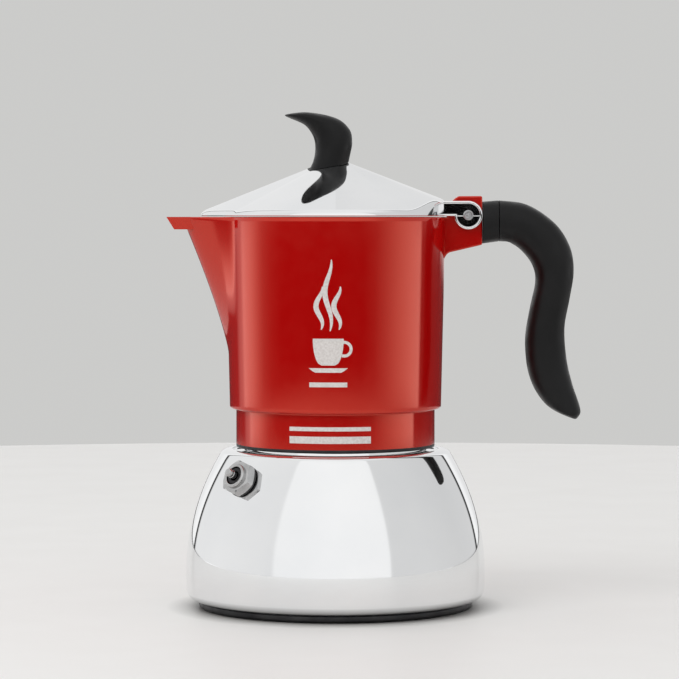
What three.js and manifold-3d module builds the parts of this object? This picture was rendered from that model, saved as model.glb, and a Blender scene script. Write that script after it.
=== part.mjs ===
// Stovetop moka pot, built as separate pieces. Millimetres, +Z up.
// The origin is the centre of the base's underside. The spout points to -X and the handle to +X.

import * as THREE from 'three';
import { mergeVertices } from 'three/addons/utils/BufferGeometryUtils.js';
import Module from 'manifold-3d';

const wasm = await Module();
wasm.setup();

// ---------------------------------------------------------------- driving dimensions

const ROUND = 40; // facets of the large turned pieces
const GAP = 0.3; // clearance between neighbouring pieces

const base = { radius: 47.5, dishHeight: 2.4, sheet: 0.8, cornerBevel: 1 };
const bell = {
  bottom: 2.7, edgeRadius: 3.8, radius: 52, widestAt: 12, top: 55, topRadius: 39.2, wall: 1.2,
};
const bellTaper = 12.5 / 42.1 ** 2; // the bell's radius falls off with the square of the height
const neck = { inner: 29, outer: 31.4, beadRadius: 34.6, beadHeight: 0.5, top: 66.4 };
const thread = { pitch: 3, maleDepth: 0.4, femaleDepth: 0.25, start: 57.2, end: 65 };
const funnel = {
  rim: 67.4, flange: 30.6, sheet: 0.8, basket: 26.5, basketFloor: 45, coneEnd: 36, stem: 4.5, tip: 9,
};
const gasket = { outer: 32.3, inner: 26.2, bottom: 67.7, height: 2.5 };
const plate = { radius: 25.4, thickness: 0.8, hole: 1, spacing: 7 };
const skirt = { outer: 34.4, inner: 32.45, bottom: 55.9, top: 68.6 };
const jug = {
  bottom: 69, bottomRadius: 36.6, rim: 135.2, rimRadius: 38.1, wall: 2, floorBottom: 70.5, floorTop: 73,
};
const spout = { start: 88, growth: 0.122, power: 1.25, root: 0.36, softness: 0.06 };
const lip = { tip: 58.4, underside: 130.9, width: 8.6, tipWidth: 6, wall: 1.4, root: 47 };
const column = { outer: 5.2, inner: 3.4, bottom: 71, top: 118, slotWidth: 3, slotHeight: 9 };
const hinge = { x: 45.7, z: 135.8, pin: 1.1, head: 1.7, ear: 4.9, earThickness: 1.8 };
const lug = { halfWidth: 6, end: 50.6, top: 142.4, underside: 125.6, sweep: 7.3 };
const tongue = { halfWidth: 2.4, bottom: 130.4, top: 136.4, end: 63 };
const lid = {
  rim: 135.5, edge: 137, backEdge: 141, apex: 155.7, radius: 38, beak: 46.6, sheet: 1.2, flat: 4.5,
};
const collar = { start: 51, end: 56.3 };
const grip = { start: 56.6, depth: 7.4, swell: 0.6 };
const knobScrew = { shank: 1.5, head: 3.2, headHeight: 1.8, length: 10 };
const knobWasher = { radius: 3.8, thickness: 0.8 };
const handleScrew = { x: 59.6, shank: 1.3, head: 2.3, headHeight: 1.6, headTop: 128.3, end: 137.6 };

const valve = {
  azimuth: 225, // degrees, between the spout and the front
  height: 46.2, hexFlat: 12, hexHeight: 3.5, boss: 4.25, bossHeight: 1, shank: 4.2, hole: 4.5,
  bore: 3.2, outlet: 1.8, pin: 1.4, pinEnd: 8.4, poppet: 2.6, innerEnd: -6.4, floor: 0.8,
  washer: 0.8, washerRadius: 6.3,
};
const valveNut = { flat: 11, low: -4.6, high: -2.1 };
const valveCap = { low: 4.2, high: 6.3 };
const valveSpring = { radius: 2.15, wire: 0.33, low: -3.7, high: 3.2, turns: 5 };

// ---------------------------------------------------------------- materials

const finish = (color, roughness, metalness) => () =>
  new THREE.MeshStandardMaterial({ color, roughness, metalness });
const polishedSteel = finish(0xd8dadc, 0.08, 1);
const rawSteel = finish(0x9a9c9f, 0.35, 1);
const aluminium = finish(0xb9bcc0, 0.4, 1);
const plated = finish(0xc6c5c1, 0.2, 1);
const redLacquer = finish(0xa60c0e, 0.15, 0);
const blackNylon = finish(0x1c1c1d, 0.45, 0);
const siliconeRubber = finish(0xe8e6df, 0.6, 0);

// ---------------------------------------------------------------- helpers

// Shares a geometry's vertices and leaves out triangles that have shrunk to a line.
function welded(geometry) {
  const bare = new THREE.BufferGeometry();
  bare.setAttribute('position', geometry.attributes.position);
  bare.setIndex(geometry.index);
  const merged = mergeVertices(bare, 1e-4);
  const corners = merged.index.array;
  const kept = [];
  for (let i = 0; i < corners.length; i += 3) {
    const [a, b, c] = corners.slice(i, i + 3);
    if (a !== b && b !== c && c !== a) kept.push(a, b, c);
  }
  merged.setIndex(kept);
  return merged;
}

function toSolid(geometry) {
  const body = welded(geometry);
  const vertProperties = new Float32Array(body.attributes.position.array);
  const triVerts = new Uint32Array(body.index.array);
  return new wasm.Manifold(new wasm.Mesh({ numProp: 3, vertProperties, triVerts }));
}

function toGeometry(solid) {
  const mesh = solid.getMesh();
  const geometry = new THREE.BufferGeometry();
  geometry.setAttribute('position', new THREE.BufferAttribute(mesh.vertProperties, 3));
  geometry.setIndex(new THREE.BufferAttribute(mesh.triVerts, 1));
  return geometry;
}

// A profile of [radius, height] points turned about Z.
function turned(profile, facets = ROUND) {
  const points = profile.map(([radius, height]) => new THREE.Vector2(radius, height));
  return new THREE.LatheGeometry(points, facets).rotateX(Math.PI / 2);
}

const tube = (inner, outer, low, high, facets) =>
  turned([[inner, low], [outer, low], [outer, high], [inner, high], [inner, low]], facets);
const disc = (radius, low, high, facets) =>
  turned([[0, low], [radius, low], [radius, high], [0, high]], facets);

// Moves each vertex to where place(radius, azimuth, height) says; the azimuth is measured from the spout.
function reshape(geometry, place) {
  const position = geometry.attributes.position;
  for (let i = 0; i < position.count; i += 1) {
    const x = position.getX(i);
    const y = position.getY(i);
    const azimuth = Math.atan2(y, -x);
    const [radius, height] = place(Math.hypot(x, y), azimuth, position.getZ(i));
    position.setXYZ(i, -radius * Math.cos(azimuth), radius * Math.sin(azimuth), height);
  }
  return geometry;
}

// How much further out than a circle the flat sides of a V stand, at an azimuth from its ridge.
// The sides leave the circle at the root azimuth, or at their tangent points where those are nearer.
function beakFactor(circle, ridge, azimuth) {
  if (ridge <= circle + 1e-6) return 1;
  const side = Math.min(Math.acos(circle / ridge), spout.root);
  const turn = Math.min(side, Math.hypot(azimuth, spout.softness) - spout.softness);
  const inFront = circle * Math.sin(side) * Math.cos(turn);
  const aside = (ridge - circle * Math.cos(side)) * Math.sin(turn);
  return (ridge * Math.sin(side)) / (inFront + aside);
}

// A closed horn between two outlines in the XZ plane, with a rounded far end. Its depth along Y is depthAt's.
function horn(first, second, depthAt, sides, steps, roundFrom) {
  const geometry = new THREE.CylinderGeometry(1, 1, 1, sides, steps);
  const position = geometry.attributes.position;
  for (let i = 0; i < position.count; i += 1) {
    const along = 0.5 + position.getY(i);
    const one = first.getPoint(along);
    const other = second.getPoint(along);
    const past = along > roundFrom ? (along - roundFrom) / (1 - roundFrom) : 0;
    const slim = Math.max(0.3, Math.sqrt(1 - past * past));
    const middle = one.clone().add(other).multiplyScalar(0.5);
    const half = one.sub(other).multiplyScalar(0.5 * slim);
    const spot = middle.addScaledVector(half, position.getX(i));
    position.setXYZ(i, spot.x, position.getZ(i) * depthAt(along) * slim, spot.y);
  }
  return geometry;
}

// A flat outline in the XZ plane, thickened along Y from low to high.
function slab(outline, low, high, holes = []) {
  const shape = new THREE.Shape(outline.map(([x, z]) => new THREE.Vector2(x, z)));
  shape.holes = holes;
  const geometry = new THREE.ExtrudeGeometry(shape, { depth: high - low, bevelEnabled: false });
  return geometry.rotateX(Math.PI / 2).translate(0, high, 0);
}

function arc(x, z, radius, from, to, steps) {
  const points = [];
  for (let i = 0; i <= steps; i += 1) {
    const angle = THREE.MathUtils.degToRad(from + ((to - from) * i) / steps);
    points.push([x + radius * Math.cos(angle), z + radius * Math.sin(angle)]);
  }
  return points;
}

function circleHole(x, y, radius, corners) {
  const hole = new THREE.Path();
  const ring = arc(x, y, radius, 0, -360, corners).slice(0, -1);
  hole.setFromPoints(ring.map(([u, v]) => new THREE.Vector2(u, v)));
  return hole;
}

const pot = new THREE.Group();

function add(name, geometry, material, parent = pot) {
  const mesh = new THREE.Mesh(geometry, material());
  mesh.name = name;
  parent.add(mesh);
}

// ---------------------------------------------------------------- boiler

const bellRadius = (height) => bell.radius - bellTaper * (height - bell.widestAt) ** 2;
const threadWave = (azimuth, height) =>
  Math.sin((2 * Math.PI * height) / thread.pitch + azimuth);

// Heights at which a thread needs a row of points.
function threadRows() {
  const rows = [];
  for (let height = thread.start; height <= thread.end + 1e-6; height += thread.pitch / 4) {
    rows.push(height);
  }
  return rows;
}

function boilerProfile() {
  const { bottom, edgeRadius, wall, top, topRadius } = bell;
  const edgeHeight = bottom + edgeRadius;
  const edge = arc(bellRadius(edgeHeight) - edgeRadius, edgeHeight, edgeRadius, -90, 0, 3);
  const sideHeights = [12, 20, 28, 36, 44, 52];
  const innerHeights = [...sideHeights].reverse();
  return [
    [0, bottom],
    ...edge,
    ...sideHeights.map((height) => [bellRadius(height), height]),
    [topRadius, top - 0.6],
    [topRadius - 2, top],
    [neck.beadRadius, top],
    [neck.beadRadius, top + neck.beadHeight],
    [neck.outer, top + neck.beadHeight],
    ...threadRows().map((height) => [neck.outer, height]),
    [neck.outer - 0.4, neck.top],
    [neck.inner, neck.top],
    [neck.inner, top - wall],
    [topRadius - 2, top - wall - 0.4],
    ...innerHeights.map((height) => [bellRadius(height) - wall - 0.1, height]),
    [bellRadius(7) - wall - 0.6, 7],
    [bellRadius(7) - wall - 3, bottom + wall],
    [0, bottom + wall],
  ];
}

function boilerShell() {
  const shell = reshape(turned(boilerProfile()), (radius, azimuth, height) => {
    const onThread = Math.abs(radius - neck.outer) < 0.01 && height > thread.start && height < thread.end;
    return [radius + (onThread ? thread.maleDepth * threadWave(azimuth, height) : 0), height];
  });
  const hole = placedOnValve(disc(valve.hole, -8, 8, 16));
  return toGeometry(toSolid(shell).subtract(toSolid(hole)));
}

function inductionPlate() {
  const { radius, dishHeight, sheet, cornerBevel } = base;
  return turned([
    [0, 0],
    [radius - cornerBevel, 0],
    [radius, cornerBevel],
    [radius, dishHeight],
    [radius - sheet, dishHeight],
    [radius - sheet, sheet],
    [0, sheet],
  ]);
}

add('boiler_shell', boilerShell(), polishedSteel);
add('induction_plate', inductionPlate(), rawSteel);
const spreaderRadius = base.radius - base.sheet - GAP;
add('heat_spreader', disc(spreaderRadius, base.sheet + GAP, base.dishHeight), aluminium);

// ---------------------------------------------------------------- safety valve

// The valve's own frame has Z along its axis, out of the wall, and its origin on the bell's outer surface.
function valveFrame() {
  const azimuth = THREE.MathUtils.degToRad(valve.azimuth);
  const radius = bellRadius(valve.height);
  const slope = 2 * bellTaper * (valve.height - bell.widestAt);
  const outward = new THREE.Vector3(Math.cos(azimuth), Math.sin(azimuth), slope).normalize();
  const frame = new THREE.Group();
  frame.position.set(radius * Math.cos(azimuth), radius * Math.sin(azimuth), valve.height);
  frame.quaternion.setFromUnitVectors(new THREE.Vector3(0, 0, 1), outward);
  frame.updateMatrixWorld(true);
  return frame;
}

function placedOnValve(geometry) {
  return geometry.applyMatrix4(valveFrame().matrixWorld);
}

// A hexagon with a chamfered outer face and a round bore.
function hexNut(flat, low, high, boreRadius, chamfer) {
  const corner = flat / Math.sqrt(3);
  const outside = turned(
    [[0, low], [corner, low], [corner, high - chamfer], [corner - 2 * chamfer, high], [0, high]], 6);
  return toSolid(outside).subtract(toSolid(disc(boreRadius, low - 1, high + 1, 16)));
}

function valveBody() {
  const low = GAP + valve.washer + GAP;
  const high = low + valve.hexHeight;
  const bossTop = high + valve.bossHeight;
  const lining = tube(valve.bore, valve.boss, low, bossTop, 16);
  const shank = turned([
    [valve.outlet, valve.innerEnd],
    [valve.shank, valve.innerEnd],
    [valve.shank, low + 0.5],
    [valve.bore, low + 0.5],
    [valve.bore, valve.innerEnd + valve.floor],
    [valve.outlet, valve.innerEnd + valve.floor],
    [valve.outlet, valve.innerEnd],
  ], 16);
  const hexagon = hexNut(valve.hexFlat, low, high, valve.bore, 0.6);
  return toGeometry(hexagon.add(toSolid(lining)).add(toSolid(shank)));
}

// The pin with its poppet; the poppet closes the small hole at the shank's inner end.
function valveStem() {
  const seat = valve.innerEnd + valve.floor + GAP;
  return turned([
    [0, seat],
    [valve.poppet, seat],
    [valve.poppet, seat + 0.8],
    [valve.pin, seat + 0.8],
    [valve.pin, valve.pinEnd - 1],
    [valve.pin * 0.7, valve.pinEnd - 0.2],
    [0, valve.pinEnd],
  ], 12);
}

class Helix extends THREE.Curve {
  constructor(radius, low, high, turns) {
    super();
    Object.assign(this, { radius, low, high, turns });
  }

  getPoint(along, target = new THREE.Vector3()) {
    const angle = 2 * Math.PI * this.turns * along;
    const height = this.low + (this.high - this.low) * along;
    return target.set(this.radius * Math.cos(angle), this.radius * Math.sin(angle), height);
  }
}

function springCoil() {
  const { radius, wire, low, high, turns } = valveSpring;
  const section = arc(0, 0, wire, 0, 300, 5).map(([x, y]) => new THREE.Vector2(x, y));
  const extrudePath = new Helix(radius, low, high, turns);
  const shape = new THREE.Shape(section);
  return new THREE.ExtrudeGeometry(shape, { steps: 50, extrudePath, bevelEnabled: false });
}

const valveGroup = valveFrame();
pot.add(valveGroup);
const seal = tube(valve.hole, valve.washerRadius, GAP, GAP + valve.washer, 16);
const lockNut = hexNut(valveNut.flat, valveNut.low, valveNut.high, valve.hole, 0.4);
const outerRing = tube(valve.pin + GAP, valve.bore - GAP, valveCap.low, valveCap.high, 16);
add('valve_washer', seal, siliconeRubber, valveGroup);
add('valve_body', valveBody(), plated, valveGroup);
add('valve_nut', toGeometry(lockNut), plated, valveGroup);
add('valve_cap', outerRing, plated, valveGroup);
add('valve_stem', valveStem(), plated, valveGroup);
add('valve_spring', springCoil(), rawSteel, valveGroup);

// ---------------------------------------------------------------- coffee funnel, seal and filter

function funnelBody() {
  const { rim, flange, sheet, basket, basketFloor, coneEnd, stem, tip } = funnel;
  return turned([
    [stem, tip],
    [stem, coneEnd],
    [basket - 2, basketFloor - 1],
    [basket, basketFloor],
    [basket, rim - 0.7],
    [flange, rim - 0.7],
    [flange, rim],
    [basket - sheet, rim],
    [basket - sheet, basketFloor + 0.4],
    [stem - sheet, coneEnd + 0.6],
    [stem - sheet, tip],
    [stem, tip],
  ]);
}

// A thin disc with holes on a triangular grid.
function perforatedPlate(bottom) {
  const outline = arc(0, 0, plate.radius, 0, 360, ROUND).slice(0, -1);
  const shape = new THREE.Shape(outline.map(([x, y]) => new THREE.Vector2(x, y)));
  const rowHeight = (plate.spacing * Math.sqrt(3)) / 2;
  const reach = Math.ceil(plate.radius / rowHeight);
  for (let row = -reach; row <= reach; row += 1) {
    for (let place = -reach; place <= reach; place += 1) {
      const x = (place + (row & 1) / 2) * plate.spacing;
      const y = row * rowHeight;
      if (Math.hypot(x, y) < plate.radius - 2.5) shape.holes.push(circleHole(x, y, plate.hole, 6));
    }
  }
  const geometry = new THREE.ExtrudeGeometry(shape, { depth: plate.thickness, bevelEnabled: false });
  return geometry.translate(0, 0, bottom);
}

const gasketTop = gasket.bottom + gasket.height;
add('funnel', funnelBody(), aluminium);
add('basket_plate', perforatedPlate(funnel.basketFloor + 1), aluminium);
add('gasket', tube(gasket.inner, gasket.outer, gasket.bottom, gasketTop), siliconeRubber);
add('filter_plate', perforatedPlate(gasket.bottom + 0.6), aluminium);

// ---------------------------------------------------------------- collector

const jugRadius = (height) =>
  jug.bottomRadius
  + ((jug.rimRadius - jug.bottomRadius) * (height - jug.bottom)) / (jug.rim - jug.bottom);
const ridgeRadius = (height) =>
  jugRadius(height) + spout.growth * Math.max(0, height - spout.start) ** spout.power;

function jugProfile() {
  const outerHeights = [80, 92, 103, 114, 125, jug.rim];
  const innerHeights = [...outerHeights].reverse();
  return [
    [gasket.outer + 0.4, jug.floorBottom],
    [gasket.outer + 0.4, thread.end + 0.6],
    ...threadRows().reverse().map((height) => [skirt.inner, height]),
    [skirt.inner, skirt.bottom],
    [skirt.outer, skirt.bottom],
    [skirt.outer, skirt.top],
    [jugRadius(jug.bottom) - 1.2, jug.bottom],
    [jugRadius(70.5), 70.5],
    ...outerHeights.map((height) => [jugRadius(height), height]),
    ...innerHeights.map((height) => [jugRadius(height) - jug.wall, height]),
    [jugRadius(jug.floorTop) - jug.wall - 1.5, jug.floorTop],
    [column.outer + GAP, jug.floorTop + 1.5],
    [column.outer + GAP, jug.floorBottom + 1.2],
    [gasket.inner - 1, jug.floorBottom],
    [gasket.outer + 0.4, jug.floorBottom],
  ];
}

// The pouring lip: a short gutter that carries the spout's ridge outward at the rim.
function lipSolids() {
  const gutter = (halfWidth, tipHalfWidth, underside, tip, top) => {
    const outline = [[-lip.root, underside], [-lip.root, top], [-tip, top], [-tip + 2.7, underside]];
    const body = slab(outline, -1, 1);
    const position = body.attributes.position;
    for (let i = 0; i < position.count; i += 1) {
      const along = (-position.getX(i) - lip.root) / (lip.tip - lip.root);
      position.setY(i, position.getY(i) * (halfWidth + (tipHalfWidth - halfWidth) * along));
    }
    return toSolid(body);
  };
  const { width, tipWidth, underside, tip, wall } = lip;
  const outside = gutter(width / 2, tipWidth / 2, underside, tip, jug.rim);
  const inside = gutter(width / 2 - wall, tipWidth / 2 - wall, underside + wall, tip + 4, jug.rim + 1);
  return { outside, inside };
}

// The lug carries the lid hinge and, on its tongue, the handle.
function lugSolid() {
  const { end, top, underside, halfWidth, sweep } = lug;
  const root = jug.rimRadius - 1;
  const outline = [
    [end, underside],
    [end, top],
    ...arc(hinge.x, hinge.z, sweep, 115, 180, 5),
    [hinge.x - sweep, jug.rim],
    [root, jug.rim],
    [root, underside - 4.8],
    [root + 1.7, underside - 3],
    [root + 4, underside - 2.2],
  ].reverse();
  const body = toSolid(slab(outline, -halfWidth, halfWidth));
  const tail = [
    [end - 2, tongue.bottom], [tongue.end, tongue.bottom], [tongue.end, tongue.top], [end - 2, tongue.top],
  ];
  const tailSolid = toSolid(slab(tail, -tongue.halfWidth, tongue.halfWidth));
  const pinHole = toSolid(acrossHinge(disc(hinge.pin + GAP, -halfWidth - 1, halfWidth + 1, 12)));
  const screwHole = disc(handleScrew.shank + GAP, tongue.bottom - 1, tongue.top + 1, 10);
  screwHole.translate(handleScrew.x, 0, 0);
  return body.add(tailSolid).subtract(pinHole).subtract(toSolid(screwHole));
}

// Lays a piece turned about Z along the hinge axis.
function acrossHinge(geometry) {
  return geometry.rotateX(Math.PI / 2).translate(hinge.x, 0, hinge.z);
}

function collectorBody() {
  const turnedJug = reshape(turned(jugProfile()), (radius, azimuth, height) => {
    const onThread = Math.abs(radius - skirt.inner) < 0.01 && height > thread.start && height < thread.end;
    const wave = onThread ? thread.femaleDepth * threadWave(azimuth, height) : 0;
    return [(radius + wave) * beakFactor(jugRadius(height), ridgeRadius(height), azimuth), height];
  });
  const { outside, inside } = lipSolids();
  return toGeometry(toSolid(turnedJug).add(outside).subtract(inside).add(lugSolid()));
}

function riserColumn() {
  const { outer, inner, bottom, top, slotWidth, slotHeight } = column;
  const body = turned([
    [inner, bottom],
    [outer, bottom],
    [outer - 0.9, top - 2],
    [outer - 2.2, top],
    [0, top + 0.4],
    [0, top - 1.4],
    [inner, top - 2],
    [inner, bottom],
  ], 16);
  const slot = new THREE.BoxGeometry(4 * outer, slotWidth, slotHeight)
    .translate(0, 0, top - 3 - slotHeight / 2);
  return toGeometry(toSolid(body).subtract(toSolid(slot)));
}

function hingePin() {
  const flush = lug.halfWidth + GAP + hinge.earThickness + GAP;
  const headEnd = flush + 1;
  const { pin, head } = hinge;
  const half = [[pin, flush], [head, flush], [head, headEnd - 0.4], [head - 0.6, headEnd]];
  const otherHalf = half.map(([radius, height]) => [radius, -height]).reverse();
  return acrossHinge(turned([[0, -headEnd], ...otherHalf, ...half, [0, headEnd]], 12));
}

add('collector', collectorBody(), redLacquer);
add('column', riserColumn(), aluminium);
add('hinge_pin', hingePin(), rawSteel);

// ---------------------------------------------------------------- lid

const lidEdge = (azimuth) => {
  const fromHinge = Math.PI - Math.abs(azimuth);
  const lift = THREE.MathUtils.smoothstep(0.85 - fromHinge, 0, 0.5);
  return lid.edge + (lid.backEdge - lid.edge) * lift;
};
const lidReach = (azimuth) => lid.radius * beakFactor(lid.radius, lid.beak, azimuth);
const coneTop = (radius, azimuth) =>
  lid.apex + ((lidEdge(azimuth) - lid.apex) * radius) / lidReach(azimuth);

// The profile's radii are shares of the lid's reach, and its heights are depths below the cone.
function lidShell() {
  const shares = [1, 0.8, 0.55, 0.3, 0.13];
  const inner = shares.slice(1).reverse();
  const rimHeight = -100;
  const profile = [
    [0, 1],
    ...inner.map((share) => [share, 1]),
    [0.968, 1],
    [0.968, rimHeight],
    [1, rimHeight],
    ...shares.map((share) => [share, 0]),
    [0, 0],
  ];
  return reshape(turned(profile), (share, azimuth, level) => {
    const radius = share * lidReach(azimuth);
    if (level === rimHeight) return [radius, lid.rim];
    const surface = coneTop(Math.max(radius, lid.flat), azimuth);
    return [radius, surface - level * (lid.sheet + 0.4 * (share > 0.9))];
  });
}

function lidEar(side) {
  const low = lug.halfWidth + GAP;
  const outline = [
    [36, lid.rim],
    [hinge.x - 4.6, lid.rim],
    ...arc(hinge.x, hinge.z, hinge.ear, 200, 450, 12),
    [36, hinge.z + hinge.ear],
  ];
  const pinHole = circleHole(hinge.x, hinge.z, hinge.pin + GAP, 12);
  const ear = slab(outline, low, low + hinge.earThickness, [pinHole]);
  return toSolid(side > 0 ? ear : ear.translate(0, -2 * low - hinge.earThickness, 0));
}

function lidBody() {
  const screwHole = toSolid(disc(knobScrew.shank + GAP, lid.rim, lid.apex, 10));
  return toGeometry(toSolid(lidShell()).add(lidEar(1)).add(lidEar(-1)).subtract(screwHole));
}

// Everything within a clearance of the lid's cone.
function underCone() {
  const steep = (lid.apex - lid.edge) / lid.radius;
  const shallow = (lid.apex - lid.backEdge) / lid.radius;
  const flatTop = lid.apex - steep * lid.flat + 2 * GAP;
  const reach = lid.radius / 2;
  const low = lid.backEdge - 1;
  return toSolid(turned([
    [0, low],
    [reach, low],
    [reach, flatTop - shallow * (reach - lid.flat)],
    [lid.flat, flatTop],
    [0, flatTop],
  ]));
}

const outline = (points) => new THREE.SplineCurve(points.map(([x, z]) => new THREE.Vector2(x, z)));

function knobBody() {
  const left = outline([
    [-9.7, 150.4], [-7.8, 154.2], [-7, 158.6], [-7.6, 162.8], [-10.2, 166.6], [-14, 168.6], [-17.4, 169.7],
  ]);
  const right = outline([
    [3.9, 151.4], [5.2, 157.2], [5.8, 161], [4.9, 165.4], [0.3, 169.3], [-9, 171.4], [-17.6, 170.9],
  ]);
  const body = toSolid(horn(left, right, (along) => 6.7 - 2.2 * along ** 2, 16, 18, 0.86));
  const socket = toSolid(disc(knobScrew.shank + GAP, 140, 161, 10));
  return toGeometry(body.subtract(underCone()).subtract(socket));
}

const flatUnderside = coneTop(lid.flat, Math.PI / 2) - lid.sheet;

function screwUnderLid() {
  const { shank, head, headHeight, length } = knobScrew;
  const headTop = flatUnderside - knobWasher.thickness - 2.5 * GAP;
  return turned([
    [0, headTop - headHeight],
    [head - 0.8, headTop - headHeight],
    [head, headTop - 0.8],
    [head, headTop],
    [shank, headTop],
    [shank, headTop + length - 0.8],
    [0, headTop + length],
  ], 12);
}

function washerUnderLid() {
  const top = flatUnderside - 1.5 * GAP;
  return tube(knobScrew.shank + GAP, knobWasher.radius, top - knobWasher.thickness, top, 12);
}

add('lid', lidBody(), polishedSteel);
add('knob', knobBody(), blackNylon);
add('knob_screw', screwUnderLid(), rawSteel);
add('knob_washer', washerUnderLid(), rawSteel);

// ---------------------------------------------------------------- handle

const socketSolid = () => {
  const { halfWidth, bottom, top, end } = tongue;
  const length = end - collar.start + 2 + GAP;
  const box = new THREE.BoxGeometry(length, 2 * (halfWidth + GAP), top - bottom + 2 * GAP);
  return toSolid(box.translate((collar.start - 2 + end + GAP) / 2, 0, (top + bottom) / 2));
};

function handleCollar() {
  const { start, end } = collar;
  const upper = outline([[start, 140.5], [end, 140.9]]);
  const lower = outline([[start, 126], [end, 126.7]]);
  const body = toSolid(horn(upper, lower, () => grip.depth, 16, 2, 1));
  return toGeometry(body.subtract(socketSolid()));
}

function handleGrip() {
  const upper = outline([
    [grip.start, 140.9], [64.9, 139.9], [71.5, 136.6], [77.5, 131.3], [81.5, 124], [82.5, 116],
    [81.1, 106.7], [79.4, 97], [80.1, 86.2], [82.1, 77.5], [85.1, 68.9], [84.4, 65.4],
  ]);
  const lower = outline([
    [grip.start, 126.8], [60.9, 126], [64.7, 123.3], [68.2, 118.6], [69.3, 113], [67.5, 104],
    [66, 95.5], [65.9, 88.8], [66.9, 81.5], [69.5, 74.9], [74.2, 69.2], [82.3, 64.9],
  ]);
  const depthAt = (along) => grip.depth + grip.swell * Math.sin(Math.PI * along);
  const body = toSolid(horn(upper, lower, depthAt, 14, 30, 0.93));
  const { x, shank, head, headTop, end } = handleScrew;
  const shankRoom = toSolid(disc(shank + GAP, headTop, end + GAP, 10).translate(x, 0, 0));
  const headRoom = toSolid(disc(head + GAP, headTop - 8, headTop + GAP, 12).translate(x, 0, 0));
  return toGeometry(body.subtract(socketSolid()).subtract(shankRoom).subtract(headRoom));
}

function screwInHandle() {
  const { x, shank, head, headHeight, headTop, end } = handleScrew;
  return turned([
    [0, headTop - headHeight],
    [head, headTop - headHeight],
    [head, headTop],
    [shank, headTop],
    [shank, end - 0.6],
    [0, end],
  ], 12).translate(x, 0, 0);
}

add('handle_collar', handleCollar(), blackNylon);
add('handle', handleGrip(), blackNylon);
add('handle_screw', screwInHandle(), rawSteel);

export default pot;
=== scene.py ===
import math

import bmesh
import bpy
from mathutils import Matrix, Vector
from mathutils.geometry import delaunay_2d_cdt


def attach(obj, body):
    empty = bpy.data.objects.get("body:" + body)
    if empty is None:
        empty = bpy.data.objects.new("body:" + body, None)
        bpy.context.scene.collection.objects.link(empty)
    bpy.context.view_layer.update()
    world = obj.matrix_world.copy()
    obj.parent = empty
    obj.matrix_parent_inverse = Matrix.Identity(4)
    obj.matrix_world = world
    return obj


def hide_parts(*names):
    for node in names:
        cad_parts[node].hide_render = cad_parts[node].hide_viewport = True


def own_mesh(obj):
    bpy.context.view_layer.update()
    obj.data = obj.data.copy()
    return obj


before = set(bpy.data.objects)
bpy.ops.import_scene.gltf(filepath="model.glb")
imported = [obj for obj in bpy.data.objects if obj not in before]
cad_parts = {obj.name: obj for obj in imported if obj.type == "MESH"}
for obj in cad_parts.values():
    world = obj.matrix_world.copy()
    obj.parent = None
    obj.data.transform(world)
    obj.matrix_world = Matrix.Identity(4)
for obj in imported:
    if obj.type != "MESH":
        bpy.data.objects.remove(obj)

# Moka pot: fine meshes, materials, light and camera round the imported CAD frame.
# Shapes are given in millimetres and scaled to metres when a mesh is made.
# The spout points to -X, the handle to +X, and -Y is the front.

MM = 0.001
TURN = 2 * math.pi
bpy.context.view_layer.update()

# ---------------------------------------------------------------- driving dimensions

ROUND = 192  # segments of the large turned pieces
BELL_RADIUS, BELL_WIDEST, BELL_TAPER = 52.0, 12.0, 12.5 / 42.1 ** 2
BELL_BOTTOM, BELL_TOP, BELL_WALL = 2.7, 55.0, 1.2
NECK_INNER, NECK_OUTER, NECK_TOP, SHOULDER_END = 29.0, 31.4, 66.4, 36.2
THREAD_PITCH, THREAD_LOW, THREAD_HIGH = 3.0, 57.2, 65.0
MALE_DEPTH, FEMALE_DEPTH = 0.38, 0.23
SKIRT_OUTER, SKIRT_INNER, SKIRT_LOW, SKIRT_HIGH, BARE_SHADED_EDGE = 34.4, 32.45, 55.65, 68.6, 56.8
JUG_LOW, JUG_RIM, JUG_LOW_RADIUS, JUG_RIM_RADIUS, JUG_WALL = 69.0, 135.2, 36.6, 38.1, 2.0
FLOOR_LOW, FLOOR_HIGH = 70.5, 73.0
SPOUT_START, SPOUT_GROWTH, SPOUT_POWER, SPOUT_ROOT, RIDGE_SOFTNESS = 88.0, 0.122, 1.25, 0.36, 0.06
HINGE_X, HINGE_Z, EAR_RADIUS, EAR_INSIDE, EAR_OUTSIDE = 45.7, 135.8, 4.9, 6.3, 8.1
DRAFT = 0.022  # how much the sides of the lug and the ears lean in, by their height
LID_RIM, LID_EDGE, LID_BACK_EDGE, LID_APEX = 135.5, 137.0, 141.0, 155.7
LID_RADIUS, LID_BEAK, LID_SHEET, LID_FLAT = 38.0, 46.6, 1.2, 4.5
VALVE_AZIMUTH, VALVE_HEIGHT, VALVE_LIFT = math.radians(225), 46.2, 1.5
SPRING_LOW, SPRING_HIGH = -4.45, 3.75  # along the valve's axis
LIP_ROOT, LIP_TIP, LIP_LOW = 47.0, 58.4, 130.9
GRIP_DEPTH, GRIP_SWELL, GRIP_SQUARENESS = 7.4, 0.6, 2.5
HANDLE_SCREW_X, HANDLE_SCREW_TOP = 59.6, 128.3

# ---------------------------------------------------------------- mesh helpers


def mesh_piece(name, vertices, faces, sharp=32):
    mesh = bpy.data.meshes.new(name)
    mesh.from_pydata([Vector(v) * MM for v in vertices], [], faces)
    tidy_mesh(mesh, sharp)
    piece = bpy.data.objects.new(name, mesh)
    bpy.context.scene.collection.objects.link(piece)
    return piece


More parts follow.
